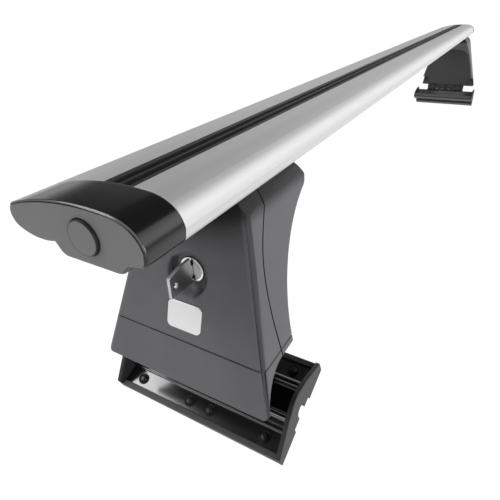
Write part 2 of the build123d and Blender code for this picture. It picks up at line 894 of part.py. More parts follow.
def ear_bolts():
    """Bolts that join the two brackets, heads inboard."""
    bolts = Part()
    for y in (-ear_bolt_y, ear_bolt_y):
        head = along(Pos(y, ear_bolt_v) * hexagon(bolt_head_flat, 30), web_u + steel, bolt_head_height)
        bolts += head + rod(bolt_radius, ear_u - nut_height - 1.5, web_u + steel, y, ear_bolt_v)
    return bolts


def ear_nuts():
    """Nuts of the ear bolts, outboard."""
    nuts = Part()
    for y in (-ear_bolt_y, ear_bolt_y):
        ring = hexagon(bolt_head_flat, 30) - Circle(bolt_radius + thread_fit)
        nuts += along(Pos(y, ear_bolt_v) * ring, ear_u - nut_height, nut_height)
    return nuts


def centre_screw():
    """Small screw between the ear bolts."""
    start = web_u + steel
    head = rod(small_screw_head, start, start + small_screw_head_height, 0, ear_bolt_v)
    socket = along(Pos(0, ear_bolt_v) * hexagon(4.0), start + 1, small_screw_head_height)
    return head + rod(small_screw_radius, start - small_screw_length, start, 0, ear_bolt_v) - socket


def base_bolts():
    """Bolts that hold the lower bracket on the rail."""
    top = bead_top + clamp_thickness
    low = channel_floor + nut_plate_gap + 0.5
    head = extrude(Pos(0, 0, top) * hexagon(bolt_head_flat, 30), amount=bolt_head_height)
    shank = extrude(Pos(0, 0, low) * Circle(bolt_radius), amount=top - low)
    ground = slope_plane(0).location
    return Part() + [ground * Pos(0, y) * (head + shank) for y in (-base_bolt_y, base_bolt_y)]


def base_nut_plate():
    """Tapped plate in the base's channel, drawn up against its roof."""
    top = channel_roof - nut_plate_gap
    half = channel_half - nut_plate_gap
    plate = sloped(rectangle(-half, half, top - nut_plate_height, top), nut_plate_length)
    for y in (-base_bolt_y, base_bolt_y):
        hole = Cylinder(bolt_radius + thread_fit, 4 * nut_plate_height)
        plate -= slope_plane(top).location * Pos(0, y) * hole
    return plate


# Lock and key

def lock_sleeve():
    """Chrome sleeve with a flange on the recess's floor."""
    flange_u = recess_floor_u - sleeve_flange
    flange = rod(sleeve_flange_radius, flange_u, recess_floor_u, v=lock_v)
    barrel = rod(sleeve_radius, recess_floor_u, sleeve_end_u, v=lock_v)
    return flange + barrel - rod(plug_core_radius + core_gap, flange_u - 1, sleeve_end_u + 1, v=lock_v)


def lock_nut():
    """Nut on the sleeve, behind the recess's floor."""
    start = recess_floor_u + recess_wall
    ring = hexagon(2 * lock_nut_radius * cos(radians(30))) - Circle(sleeve_radius + core_gap)
    return along(Pos(0, lock_v) * ring, start, lock_nut_height)


def lock_cylinder():
    """Turning core with its keyway, and a square end that drives the cam."""
    start = recess_floor_u - sleeve_flange
    core = rod(plug_core_radius, start, core_end_u, v=lock_v)
    square = Pos(0, lock_v) * Rectangle(cam_square, cam_square)
    core += along(square, core_end_u, cam_gap + cam_thickness + square_stand)
    keyway = Pos(0, lock_v) * Rectangle(keyway_width, keyway_height)
    return core - along(keyway, start - 1, keyway_end_u - start + 1)


def lock_cam():
    """Flat cam on the core's square end, pointing up when unlocked."""
    arm = Circle(cam_width / 2 + 1) + rectangle(-cam_width / 2, cam_width / 2, 0, cam_reach)
    tips = [point for point in arm.vertices() if abs(point.Y - cam_reach) < 0.01]
    arm = fillet(tips, 2.5) - Rectangle(cam_square + 0.1, cam_square + 0.1)
    return along(Pos(0, lock_v) * arm, core_end_u + cam_gap, cam_thickness)


def key():
    """Flat steel key: a head with a sloping top and a hole, and a blade in the lock."""
    head = closed(
        (key_outer_u, lock_v - key_drop),
        (key_outer_u, lock_v + key_outer_rise),
        (key_shoulder_u, lock_v + key_rise),
        (key_inner_u, lock_v + key_rise),
        (key_inner_u, lock_v - key_drop),
    )
    head = fillet(head.vertices().filter_by_position(Axis.X, 0, key_outer_u + 0.1), key_corner)
    head -= Pos(key_hole_u, lock_v - key_hole_drop) * Circle(key_hole_radius)
    half = key_blade_height / 2
    blade = closed(
        (key_inner_u - 1, lock_v - half),
        (key_blade_end_u - half, lock_v - half),
        (key_blade_end_u, lock_v),
        (key_blade_end_u - half, lock_v + half),
        (key_inner_u - 1, lock_v + half),
    )
    return across(head + blade, key_thickness)


# Whole part

def on_right(piece):
    """Moves a piece from the foot's frame to the right end of the bar, at -X."""
    return Pos(-bar_length / 2, 0, axis_height) * piece


def on_left(piece):
    """Mirrors a piece to the left end of the bar, at +X."""
    return mirror(on_right(piece), about=Plane.YZ)


def foot_pieces():
    """Pieces that both feet have, by name."""
    shell = tower_shell()
    return {
        "front_cover": front_cover(shell),
        "badge_plate": badge_plate(),
        "rear_shell": rear_shell(shell),
        "inner_panel": inner_panel(),
        "support_bracket": support_bracket(),
        "slot_plate": slot_plate(),
        "bar_bolts": bar_bolts(),
        "base_profile": base_profile(),
        "outer_pad": pad(-1),
        "inner_pad": pad(1),
        "pad_rivets": pad_rivets(),
        "front_end_plate": end_plate(-1),
        "rear_end_plate": end_plate(1),
        "base_bracket": base_bracket(),
        "ear_bolts": ear_bolts(),
        "ear_nuts": ear_nuts(),
        "centre_screw": centre_screw(),
        "base_bolts": base_bolts(),
        "base_nut_plate": base_nut_plate(),
        "lock_sleeve": lock_sleeve(),
        "lock_nut": lock_nut(),
        "lock_cylinder": lock_cylinder(),
        "lock_cam": lock_cam(),
        "end_cap": end_cap(),
        "cap_plug": cap_plug(),
        "cap_screw": cap_screw(),
    }


def all_pieces():
    """Every piece in its place, by node name."""
    pieces = {
        "crossbar_profile": on_right(crossbar_profile()),
        "slot_strip": on_right(slot_strip()),
        "key": on_right(key()),
    }
    for name, piece in foot_pieces().items():
        pieces["right_" + name] = on_right(piece)
        pieces["left_" + name] = on_left(piece)
    return pieces


os.makedirs("parts", exist_ok=True)
for name, piece in all_pieces().items():
    export_step(piece, f"parts/{name}.step")
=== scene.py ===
import json
import math

import bmesh
import bpy
import numpy as np
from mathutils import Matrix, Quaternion, Vector


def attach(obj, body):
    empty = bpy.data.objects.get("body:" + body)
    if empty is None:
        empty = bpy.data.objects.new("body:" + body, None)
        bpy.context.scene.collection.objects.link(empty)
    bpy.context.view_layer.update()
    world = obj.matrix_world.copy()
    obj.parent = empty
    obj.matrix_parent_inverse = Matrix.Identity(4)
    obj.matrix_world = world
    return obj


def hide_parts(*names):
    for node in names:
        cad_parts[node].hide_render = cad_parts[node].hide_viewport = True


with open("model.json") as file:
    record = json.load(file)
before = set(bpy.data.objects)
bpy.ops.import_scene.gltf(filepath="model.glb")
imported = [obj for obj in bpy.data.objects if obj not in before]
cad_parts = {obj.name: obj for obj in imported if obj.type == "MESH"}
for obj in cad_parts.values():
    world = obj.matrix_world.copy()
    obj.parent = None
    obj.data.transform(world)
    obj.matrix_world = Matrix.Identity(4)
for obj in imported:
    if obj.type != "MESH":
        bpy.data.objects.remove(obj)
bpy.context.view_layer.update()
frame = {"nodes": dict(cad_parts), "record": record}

# Camera, in metres and degrees: place, view direction, roll and lens
camera_place = Vector((-0.7028, -0.1354, 0.2518))
view_direction = Vector((0.7387, 0.4410, -0.5097))
camera_roll = -2.12
camera_lens = 30.186

# Bar, in metres: middle to a cap's end face, and height of its axis
bar_half = 0.6075
bar_height = 0.1711

# Caps, in metres: distance from the bar's middle past which the end face shows, then the painted highlight on
# its upper rim, by the distances from the middle over which it sets in and ends, and by the heights where it
# starts
end_face_reach = 0.60745
rim_highlight_start = (bar_half - 0.0011, bar_half - 0.0009)
rim_highlight_end = (bar_half - 0.0005, bar_half - 0.0003)
rim_highlight_heights = (bar_height - 0.002, bar_height + 0.003)

# Plugs, in metres: radius, and the radii over which the painted shade in the gap round them sets in and ends
plug_radius = 0.0082
gap_shade_start = (plug_radius - 0.0006, plug_radius - 0.0002)
gap_shade_end = (plug_radius + 0.0004, plug_radius + 0.0009)

# Towers, in metres: heights over which the bar's shade sets in, and over which it is deepest
shade_heights = (0.128, 0.154)
deepest_heights = (0.149, 0.158)

# Locks, in metres: height of the axis, radii over which the recess ends, softening of the edges in it and
# outside it, half width of the keyway and radii over which its wider ends start, where shade is painted
lock_height = 0.11769
recess_end = (0.017, 0.019)
recess_edge = 0.0035
tower_edge = 0.0012
keyway_half = (0.0014, 0.0018)
keyway_ends = (0.0031, 0.0036)

# Bases, in metres: slope in degrees, middle of the right one, rise of the floors, inner edge of the lips, and
# the rivets' places across and along the slope
slope_angle = 23.109
base_middle = np.array([-0.52866, 0.0, 0.013246])
floor_rise = 0.0055
lip_inner = 0.02995
rivet_across = 0.02375
rivet_places = (-0.0515, -0.0085, 0.0085, 0.0515)

# Seam between a tower's halves, from below, in metres: height from the ground and depth from the bar's end,
# along which shade is painted
seam_line = [
    (0.07110, 0.06940), (0.08105, 0.06911), (0.09101, 0.06914), (0.10121, 0.06967), (0.11111, 0.07079),
    (0.11915, 0.07223), (0.12706, 0.07430), (0.13514, 0.07747), (0.14315, 0.08196), (0.15106, 0.08713),
    (0.15911, 0.09208),
]
seam_low, seam_high = seam_line[0][0], seam_line[-1][0]

# Stretch of drawn lines along two directions
along_x = (4.0, 1800.0, 1800.0)
along_y = (1800.0, 4.0, 1800.0)

# Rounded edges of pieces that keep their shape, in metres, and where the caps' start, from the bar's middle
edge_radius = {
    "front_cover": 0.0003, "rear_shell": 0.0002, "end_cap": 0.0003, "cap_plug": 0.0002, "badge_plate": 0.0003,
    "front_end_plate": 0.0003, "rear_end_plate": 0.0003, "lock_sleeve": 0.00025,
}
key_radius = 0.0003
cap_rounding_from = 0.602

# Angles that count as a flat joint and as a sharp edge, and gaps that are closed at corners and poles
flat_angle = math.radians(0.5)
sharp_angle = math.radians(35)
same_corner = 1e-6
same_pole = 1e-7

# Room: level overhead, what its bright bands add, and the bands' upper fades as upward parts of a direction
room_fill = 0.10
room_band = 0.8
horizon_fade = (0.02, 0.17)
tall_fade = (0.30, 0.62)
tall_side = (0.95, -0.3, 0.0)
tall_facing = (0.25, 0.75)

# Floor: half its size, its white oval's middle and half widths, the oval's fade, and its glow with its share
floor_half = 12.0
oval_middle = (1.1, 0.0, 0.0)
oval_reach = (2.4, 2.2, 1.0)
oval_fade = (0.72, 1.0)
floor_glow = 1.10
glow_share = 0.9

# Lamps, in metres and watts: place, point that it faces, width with height, and power
lamps = {
    "key_light": ((-1.12, 1.26, 1.46), (-0.56, 0, 0), (1.6, 0.75), 20),
    "side_light": ((-2.16, 0.6, 1.0), (-0.56, 0, 0.02), (0.9, 0.9), 5),
    "front_light": ((-0.9, -2.2, 0.3), (-0.5, 0, 0.08), (1.5, 0.8), 20),
    "long_light": ((1.6, -1.3, 0.9), (1.6, 0, 0.15), (4.6, 1.2), 21),
}


def add_object(name, data):
    """New object in the scene for a mesh, a lamp or a camera."""
    made = bpy.data.objects.new(name, data)
    bpy.context.collection.objects.link(made)
    return made


def make_camera():
    """Camera at the photograph's viewing angle, level apart from a slight roll."""
    camera = add_object("camera", bpy.data.cameras.new("camera"))
    camera.data.lens = camera_lens
    camera.data.sensor_width = 36.0
    camera.data.clip_start = 0.01
    camera.data.clip_end = 50.0
    camera.location = camera_place
    camera.rotation_mode = "QUATERNION"
    roll = Quaternion((0, 0, 1), math.radians(camera_roll))
    camera.rotation_quaternion = view_direction.to_track_quat("-Z", "Y") @ roll
    bpy.context.scene.camera = camera


# Shader nodes

def feed(tree, socket, value):
    """Links a socket to another node's output, or gives it a constant value."""
    if isinstance(value, bpy.types.NodeSocket):
        tree.links.new(value, socket)
    else:
        socket.default_value = value


def node(tree, kind, **values):
    """New node in a tree, with its properties set and its inputs fed by name."""
    made = tree.nodes.new(kind)
    for name, value in values.items():
        if name in made.bl_rna.properties:
            setattr(made, name, value)
        else:
            feed(tree, made.inputs[name.replace("_", " ")], value)
    return made


def number(tree, operation, *values):
    """Result of an operation on numbers, each an output or a constant."""
    made = node(tree, "ShaderNodeMath", operation=operation)
    for socket, value in zip(made.inputs, values):
        feed(tree, socket, value)
    return made.outputs[0]


def vector(tree, operation, *values):
    """Result of an operation on vectors, each an output or a constant."""
    made = node(tree, "ShaderNodeVectorMath", operation=operation)
    for socket, value in zip(made.inputs, values):
        feed(tree, socket, value)
    return made.outputs["Value" if operation in ("DOT_PRODUCT", "LENGTH") else "Vector"]


def object_place(tree):
    """Place of a point in its object's coordinates."""
    return tree.nodes.new("ShaderNodeTexCoord").outputs["Object"]


def parts_of(tree, value):
    """X, Y and Z of a vector."""
    return node(tree, "ShaderNodeSeparateXYZ", Vector=value).outputs


def map_range(tree, value, start, end, interpolation="SMOOTHSTEP"):
    """Value mapped from one range onto another, without overshoot."""
    made = node(tree, "ShaderNodeMapRange", interpolation_type=interpolation, Value=value)
    for socket, limit in zip(("From Min", "From Max", "To Min", "To Max"), (*start, *end)):
        made.inputs[socket].default_value = limit
    return made.outputs[0]


def mixed(tree, share, first, second, blend="MIX"):
    """First colour, with the second one laid over it by a share."""
    made = node(tree, "ShaderNodeMix", data_type="RGBA", blend_type=blend)
    for index, value in ((0, share), (6, first), (7, second)):
        feed(tree, made.inputs[index], value)
    return made.outputs[2]


def multiplied(tree, colour, factor, share=1.0):
    """Colour times a factor, in full or by a share."""
    return mixed(tree, share, colour, factor, "MULTIPLY")


def noise(tree, place, scale, detail, roughness):
    """Noise between 0 and 1 over a place."""
    made = node(tree, "ShaderNodeTexNoise", Vector=place, Scale=scale, Detail=detail, Roughness=roughness)
    return made.outputs["Fac"]


def ramp(tree, fac, low, high):
    """Grey level or colour that runs from low to high over the middle of a noise."""
    made = node(tree, "ShaderNodeValToRGB", Fac=fac)
    for element, position, value in zip(made.color_ramp.elements, (0.3, 0.7), (low, high)):
        element.position = position
        element.color = (*value, 1.0) if isinstance(value, tuple) else (value, value, value, 1.0)
    return made.outputs[0]


# Node groups

def new_group(name, inputs, outputs):
    """Shader node group with named number or vector inputs, given with their defaults, and number outputs."""
    group = bpy.data.node_groups.new(name, "ShaderNodeTree")
    for socket, value in inputs.items():
        kind = "NodeSocketVector" if isinstance(value, tuple) else "NodeSocketFloat"
        made = group.interface.new_socket(socket, in_out="INPUT", socket_type=kind)
        made.default_value = value
    for socket in outputs:
        group.interface.new_socket(socket, in_out="OUTPUT", socket_type="NodeSocketFloat")
    return group, group.nodes.new("NodeGroupInput").outputs, group.nodes.new("NodeGroupOutput").inputs


def grain_group():
    """Moulded grain: fine noise for the relief, and a slow mottling of the tone."""
    sizes = {"Grain Size": 0.0006, "Mottle Size": 0.03}
    group, start, end = new_group("moulded_grain", sizes, ("Relief", "Mottle"))
    place = object_place(group)
    fine = noise(group, place, number(group, "DIVIDE", 1.0, start["Grain Size"]), 2.0, 0.6)
    slow = noise(group, place, number(group, "DIVIDE", 1.0, start["Mottle Size"]), 3.0, 0.5)
    feed(group, end["Relief"], fine)
    feed(group, end["Mottle"], slow)
    return group


def drawn_group():
    """Lines of a drawn or extruded metal: noise stretched far along one axis."""
    group, start, end = new_group("drawn_lines", {"Stretch": along_x}, ("Lines", "Bands"))
    stretched = vector(group, "MULTIPLY", object_place(group), start["Stretch"])
    feed(group, end["Lines"], noise(group, stretched, 1.0, 3.0, 0.6))
    feed(group, end["Bands"], noise(group, stretched, 0.05, 2.0, 0.5))
    return group


def end_face_group():
    """1 on the flat end faces of the bar's caps and 0 on their sides, by the distance along the bar."""
    group, start, end = new_group("end_face", {"Reach": end_face_reach}, ("Mask",))
    reach = number(group, "ABSOLUTE", parts_of(group, object_place(group))["X"])
    feed(group, end["Mask"], number(group, "GREATER_THAN", reach, start["Reach"]))
    return group


def slope_group():
    """Distance up or down a base's slope from its middle line, the same on both feet."""
    group, _, end = new_group("slope_place", {}, ("Across",))
    lean = math.radians(slope_angle)
    away = vector(group, "ABSOLUTE", object_place(group))
    off_middle = vector(group, "SUBTRACT", away, (abs(base_middle[0]), 0.0, base_middle[2]))
    down = vector(group, "DOT_PRODUCT", off_middle, (-math.cos(lean), 0.0, math.sin(lean)))
    feed(group, end["Across"], number(group, "ABSOLUTE", down))
    return group


def ring_group():
    """Distance from a line along the bar at a given height, for round features that look outboard."""
    group, start, end = new_group("ring_distance", {"Height": bar_height}, ("Distance",))
    parts = parts_of(group, object_place(group))
    above = number(group, "SUBTRACT", parts["Z"], start["Height"])
    flat = node(group, "ShaderNodeCombineXYZ", Y=parts["Y"], Z=above)
    feed(group, end["Distance"], vector(group, "LENGTH", flat.outputs[0]))
    return group


def seam_shade_group():
    """Mask for the painted shade in a tower's seam: 1 along the curved seam between its halves, fading out
    beside it.
    """
    group, start, end = new_group("seam_line", {"Half Width": 0.0009}, ("Line",))
    parts = parts_of(group, object_place(group))
    reach = number(group, "ABSOLUTE", parts["X"])
    height = map_range(group, parts["Z"], (seam_low, seam_high), (0.0, 1.0), "LINEAR")
    curve = node(group, "ShaderNodeValToRGB", Fac=height)
    while len(curve.color_ramp.elements) < len(seam_line):
        curve.color_ramp.elements.new(0.5)
    depth_share = 10
    for element, (level, depth) in zip(curve.color_ramp.elements, seam_line):
        element.position = (level - seam_low) / (seam_high - seam_low)
        element.color = (depth * depth_share, depth * depth_share, depth * depth_share, 1.0)
    seam_reach = number(group, "MULTIPLY_ADD", curve.outputs[0], -1 / depth_share, bar_half)
    apart = number(group, "ABSOLUTE", number(group, "SUBTRACT", reach, seam_reach))
    share = number(group, "DIVIDE", apart, start["Half Width"])
    feed(group, end["Line"], map_range(group, share, (1.0, 0.5), (0.0, 1.0)))
    return group


groups = {
    "grain": grain_group(), "drawn": drawn_group(), "end_face": end_face_group(), "seam": seam_shade_group(),
    "ring": ring_group(), "slope": slope_group(),
}


def grouped(tree, name, **values):
    """Outputs of a node group whose inputs are fed by name."""
    return node(tree, "ShaderNodeGroup", node_tree=groups[name], **values).outputs


# Materials

def new_material(name, metallic=0.0, **sockets):
    """Material with a Principled shader, its constant sockets set by name, with its tree and its sockets."""
    material = bpy.data.materials.new(name)
    material.use_nodes = True
    tree = material.node_tree
    shader = tree.nodes["Principled BSDF"]
    shader.inputs["Metallic"].default_value = metallic
    for socket, value in sockets.items():
        shader.inputs[socket.replace("_", " ")].default_value = value
    return material, tree, shader.inputs


def finish_surface(tree, surface, colour, rough, relief, edge, depth):
    """Feeds a surface its colour and roughness, with the relief bumped on top of softened edges."""
    feed(tree, surface["Base Color"], colour)
    feed(tree, surface["Roughness"], rough)
    bevel = node(tree, "ShaderNodeBevel", samples=8, Radius=edge)
    bump = node(tree, "ShaderNodeBump", Strength=1.0, Distance=depth, Height=relief, Normal=bevel.outputs[0])
    feed(tree, surface["Normal"], bump.outputs[0])


def moulded(name, dark, light, rough, grain=0.0006, depth=0.00002, edge=0.0003, **sockets):
    """Moulded plastic or rubber with a fine grain and a little mottling."""
    material, tree, surface = new_material(name, **sockets)
    texture = grouped(tree, "grain", Grain_Size=grain)
    tone = ramp(tree, texture["Mottle"], dark, light)
    dullness = ramp(tree, texture["Relief"], *rough)
    finish_surface(tree, surface, tone, dullness, texture["Relief"], edge, depth)
    return material


def metal(name, dark, light, rough, stretch, depth=0.000004, edge=0.0003, share=1.0):
    """Metal with drawn lines along one axis, duller where its metallic share is below 1."""
    material, tree, surface = new_material(name, metallic=share)
    texture = grouped(tree, "drawn", Stretch=stretch)
    tone = ramp(tree, texture["Bands"], dark, light)
    dullness = ramp(tree, texture["Lines"], *rough)
    finish_surface(tree, surface, tone, dullness, texture["Lines"], edge, depth)
    return material


def bar_shadow(tree, colour):
    """Colour shaded where the bar closes over it, and most just under the bar."""
    height = parts_of(tree, object_place(tree))["Z"]
    near_bar = map_range(tree, height, shade_heights, (0.0, 1.0))
    open_share = node(tree, "ShaderNodeAmbientOcclusion", samples=8, Distance=0.06)
    shade = map_range(tree, open_share.outputs["AO"], (0.50, 1.0), (0.02, 1.0))
    shaded = multiplied(tree, colour, shade, near_bar)
    return multiplied(tree, shaded, map_range(tree, height, deepest_heights, (1.0, 0.25)))


def corner_shadow(tree, colour):
    """Colour darkened on the rounded upright corners, between the outer face and the sides."""
    facing = tree.nodes.new("ShaderNodeTexCoord").outputs["Normal"]
    sideways = number(tree, "ABSOLUTE", parts_of(tree, facing)["Y"])
    past_face = map_range(tree, sideways, (0.45, 0.62), (0.0, 1.0))
    before_side = map_range(tree, sideways, (0.84, 0.93), (1.0, 0.0))
    corner = number(tree, "MULTIPLY", past_face, before_side)
    return multiplied(tree, colour, map_range(tree, corner, (0.0, 1.0), (1.0, 0.4)))


def tower_plastic():
    """Grey moulded plastic of the towers, with painted shade in its seams and crevices, round its corners and
    close under the bar.
    """
    material, tree, surface = new_material("tower_plastic", Specular_IOR_Level=0.25)
    texture = grouped(tree, "grain", Grain_Size=0.0006)
    tone = ramp(tree, texture["Mottle"], (0.138, 0.138, 0.146), (0.152, 0.152, 0.16))
    shaded = corner_shadow(tree, bar_shadow(tree, tone))
    # Painted shade in crevices a few millimetres across, taken from ambient occlusion
    crevice_shade = node(tree, "ShaderNodeAmbientOcclusion", samples=8, Distance=0.003)
    shaded = multiplied(tree, shaded, map_range(tree, crevice_shade.outputs["AO"], (0.35, 0.85), (0.15, 1.0)))
    # Painted shade in the seam between the halves, down to 0.12 of the colour on its line
    seam = map_range(tree, grouped(tree, "seam")["Line"], (0.0, 1.0), (1.0, 0.12))
    shaded = multiplied(tree, shaded, seam)
    from_lock = grouped(tree, "ring", Height=lock_height)["Distance"]
    edge = map_range(tree, from_lock, recess_end, (recess_edge, tower_edge))
    dullness = ramp(tree, texture["Relief"], 0.42, 0.55)
    finish_surface(tree, surface, shaded, dullness, texture["Relief"], edge, 0.00002)
    return material


def cap_side(tree, colour):
    """Colour of a cap's sides, with a painted highlight along the upper rim of the end face."""
    parts = parts_of(tree, object_place(tree))
    reach = number(tree, "ABSOLUTE", parts["X"])
    # Painted highlight: a pale grey line where the rounded upper rim of the end face would catch the key light
    begun = map_range(tree, reach, rim_highlight_start, (0.0, 1.0))
    not_ended = map_range(tree, reach, rim_highlight_end, (1.0, 0.0))
    upper = map_range(tree, parts["Z"], rim_highlight_heights, (0.0, 1.0))
    rim_highlight = number(tree, "MULTIPLY", number(tree, "MULTIPLY", begun, upper), not_ended)
    return mixed(tree, rim_highlight, colour, (0.15, 0.15, 0.15, 1.0))


def cap_face(tree, colour):
    """Colour of a cap's end face, with painted shade in the gap round the plug."""
    from_plug = grouped(tree, "ring")["Distance"]
    # Painted shade in the gap round the plug, down to 0.12 of the face's colour
    inside = map_range(tree, from_plug, gap_shade_start, (1.0, 0.0))
    outside = map_range(tree, from_plug, gap_shade_end, (0.0, 1.0))
    clear = number(tree, "MAXIMUM", inside, outside)
    return multiplied(tree, colour, map_range(tree, clear, (0.0, 1.0), (0.12, 1.0)))


def cap_plastic():
    """Cap plastic: glossy black round the sides, and a finely textured matte end face whose lighter grey is
    partly painted light, standing in for the frontal light it catches.
    """
    material, tree, surface = new_material("cap_plastic")
    texture = grouped(tree, "grain", Grain_Size=0.0005)
    on_face = grouped(tree, "end_face")["Mask"]
    side = cap_side(tree, ramp(tree, texture["Mottle"], 0.005, 0.007))
    # The end face's grey is painted light for the frontal light it catches, on top of its matte textured finish
    face = cap_face(tree, ramp(tree, texture["Mottle"], (0.19, 0.19, 0.195), (0.20, 0.20, 0.205)))
    glossy = ramp(tree, texture["Relief"], 0.17, 0.21)
    matte = ramp(tree, texture["Relief"], 0.5, 0.62)
    tone, dullness = mixed(tree, on_face, side, face), mixed(tree, on_face, glossy, matte)
    finish_surface(tree, surface, tone, dullness, texture["Relief"], 0.0008, 0.00001)
    return material


def base_metal():
    """Black anodised base: smooth floors and beads, and duller lips along both edges."""
    material, tree, surface = new_material("black_anodised", IOR=2.1)
    texture = grouped(tree, "grain")
    across = grouped(tree, "slope")["Across"]
    on_lip = map_range(tree, across, (lip_inner - 0.0003, lip_inner + 0.0003), (0.0, 1.0))
    tone = ramp(tree, texture["Mottle"], 0.006, 0.009)
    dullness = mixed(tree, on_lip, ramp(tree, texture["Relief"], 0.14, 0.18), (0.72, 0.72, 0.72, 1.0))
    finish_surface(tree, surface, tone, dullness, texture["Relief"], 0.001, 0.000002)
    return material


def lock_steel():
    """Turned steel of a lock's core, with painted shade in the wider ends of its keyway."""
    material, tree, surface = new_material("lock_steel", metallic=1.0)
    texture = grouped(tree, "drawn", Stretch=along_y)
    beside = number(tree, "ABSOLUTE", parts_of(tree, object_place(tree))["Y"])
    from_axis = grouped(tree, "ring", Height=lock_height)["Distance"]
    # Painted shade in the keyway's wider ends, down to 0.02 of the steel's tone
    narrow = map_range(tree, beside, keyway_half, (1.0, 0.0))
    outer = map_range(tree, from_axis, keyway_ends, (0.0, 1.0))
    keyway_shade = number(tree, "MULTIPLY", narrow, outer)
    tone = ramp(tree, texture["Bands"], 0.50, 0.58)
    tone = multiplied(tree, tone, map_range(tree, keyway_shade, (0.0, 1.0), (1.0, 0.02)))
    dullness = ramp(tree, texture["Lines"], 0.16, 0.24)
    finish_surface(tree, surface, tone, dullness, texture["Lines"], 0.0004, 0.000004)
    return material


materials = {
    "aluminium": metal("anodised_aluminium", 0.67, (0.71, 0.71, 0.705), (0.48, 0.54), along_x, share=0.65),
    "rubber": moulded("strip_rubber", 0.010, 0.014, (0.45, 0.6)),
    "tower_plastic": tower_plastic(),
    "panel_plastic": moulded("panel_plastic", (0.03, 0.03, 0.032), (0.036, 0.036, 0.038), (0.5, 0.6)),
    "black_plastic": cap_plastic(),
    "rivet_plastic": moulded("rivet_plastic", 0.012, 0.016, (0.3, 0.4)),
    "grey_plastic": moulded(
        "end_plate_plastic", (0.034, 0.034, 0.036), (0.04, 0.04, 0.042), (0.5, 0.6), edge=0.0006,
        Specular_IOR_Level=0.3,
    ),
    "black_aluminium": base_metal(),
    "black_steel": moulded("black_coated_steel", 0.008, 0.012, (0.35, 0.45)),
    "zinc_steel": metal("zinc_plate", (0.55, 0.55, 0.53), (0.65, 0.65, 0.64), (0.25, 0.38), along_y),
    "chrome": metal("polished_chrome", 0.74, 0.78, (0.06, 0.12), along_y),
    "pale_plate": metal(
        "silver_plate", (0.95, 0.95, 0.945), (0.97, 0.97, 0.965), (0.32, 0.4), along_y, edge=0.0006, share=0.5
    ),
    "lock_steel": lock_steel(),
    "key_steel": metal("key_steel", 0.52, 0.58, (0.28, 0.36), along_y),
}

slot_of = {part["node"]: part["material_slot"] for part in frame["record"]["subparts"]}
body_of = {name: body for body, names in frame["record"]["behaviour"]["bodies"].items() for name in names}

# Nodes with a closer material than their slot's
better_slots = {"key": "key_steel", "right_lock_cylinder": "lock_steel", "left_lock_cylinder": "lock_steel"}


def dress_nodes():
    """Gives every node of the frame the material of its slot, or a closer one."""
    for name, piece in frame["nodes"].items():
        for slot in piece.material_slots:
            slot.material = materials[better_slots.get(name, slot_of[name])]


# Rivets

def turned(radii, heights, sides):
    """Surface of revolution: (r cos a, r sin a, h) for each (r, h) of the profile, closed by its poles."""
    turn = np.linspace(0, 2 * np.pi, sides, endpoint=False)
    across, aside = np.outer(radii, np.cos(turn)), np.outer(radii, np.sin(turn))
    up = np.repeat(heights[:, None], sides, axis=1)
    return np.stack([across, aside, up], axis=2).reshape(-1, 3), ring_faces(len(radii), sides)


def ring_faces(rows, sides):
    """Quads between neighbouring rings of a grid whose second direction closes on itself."""
    row, column = np.meshgrid(np.arange(rows - 1), np.arange(sides), indexing="ij")
    after = (column + 1) % sides
    quads = [row * sides + column, row * sides + after, (row + 1) * sides + after, (row + 1) * sides + column]
    return np.stack(quads, axis=2).reshape(-1, 4)


def rounded_step(start, end, count=7):
    """Quarter of an ellipse from one (r, h) to another, leaving along h and arriving along r."""
    share = np.linspace(0, np.pi / 2, count)
    return (
        end[0] + (start[0] - end[0]) * np.cos(share),
        start[1] + (end[1] - start[1]) * np.sin(share),
    )


def rivet_profile():
    """Profile of a rivet as radii and heights: shank, collar with a rounded rim, a groove and a domed head.

    The dome's height follows the sine of an angle and its radius the cosine to a power below 1, so it is
    fuller than an ellipse.
    """
    shank, shank_depth = 1.7, 3.0
    collar, collar_flat, collar_top = 4.0, 3.6, 0.9
    groove_outer, groove_inner, groove_floor = 3.3, 2.95, 0.3
    head, head_rise, fullness = 2.9, 1.6, 0.7
    rim = rounded_step((collar, collar_top / 2), (collar_flat, collar_top))
    share = np.linspace(0, np.pi / 2, 14)[:-1]
    dome = head * np.cos(share) ** fullness, collar_top + head_rise * np.sin(share)
    radii = np.concatenate([[0, shank, shank, collar], rim[0], [groove_outer, groove_inner], dome[0], [0]])
    foot, top = [-shank_depth, -shank_depth, 0, 0], [collar_top + head_rise]
    heights = np.concatenate([foot, rim[1], [groove_floor, groove_floor], dome[1], top])
    return radii / 1000, heights / 1000


def rivet_surfaces(side):
    """Points and faces of one foot's rivets, square to the slope; the left ones are turned half round."""
    points, faces = turned(*rivet_profile(), sides=48)
    lean = math.radians(slope_angle)
    along = np.array([math.cos(lean), 0, math.sin(lean)])
    up = np.array([-math.sin(lean), 0, math.cos(lean)])
    turned_up = points @ np.stack([along, [0, 1, 0], up])
    spots = [
        base_middle + across * along + floor_rise * up + np.array([0, place, 0])
        for across in (-rivet_across, rivet_across)
        for place in rivet_places
    ]
    all_points = np.concatenate([turned_up + spot for spot in spots])
    all_faces = np.concatenate([faces + index * len(points) for index in range(len(spots))])
    if side == "left":
        all_points = all_points * np.array([-1.0, -1.0, 1.0])
    return all_points, all_faces


